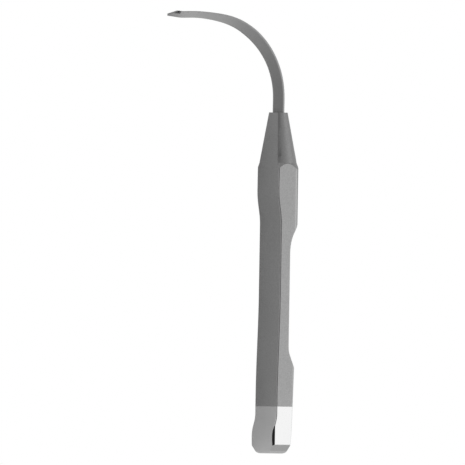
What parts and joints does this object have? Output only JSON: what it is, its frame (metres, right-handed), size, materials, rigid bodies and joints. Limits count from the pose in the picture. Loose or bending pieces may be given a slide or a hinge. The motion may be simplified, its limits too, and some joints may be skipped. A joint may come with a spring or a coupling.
{
  "type": "wire-passing bone awl",
  "caption": "Curved surgical awl with an eye near its tip, a long bend and a flat-sided hollow steel handle with a stepped front and a hollowed back.",
  "frame": {"origin": "middle of the overall box at its lowest level, with the awl lying on one side face of its handle", "axes": "+Y runs along the handle from its tail to the tip end, +Z is square to the plane of the hook, and the hook curves towards -X"},
  "size_m": [0.0743, 0.2206, 0.0198],
  "materials": {
    "handle_steel": "bead-blasted satin stainless steel, mirror-polished over the last 23.5 mm at the tail",
    "blade_steel": "fine satin-ground stainless steel",
    "inner_steel": "turned and stamped stainless steel, inside the handle",
    "braze_metal": "silver braze, cleaned flush"
  },
  "bodies": {
    "root": {"upper_half_shell": "handle_steel", "lower_half_shell": "handle_steel", "awl_blade": "blade_steel", "neck_bush": "inner_steel", "tang_web": "inner_steel", "braze_fill": "braze_metal"}
  },
  "joints": []
}
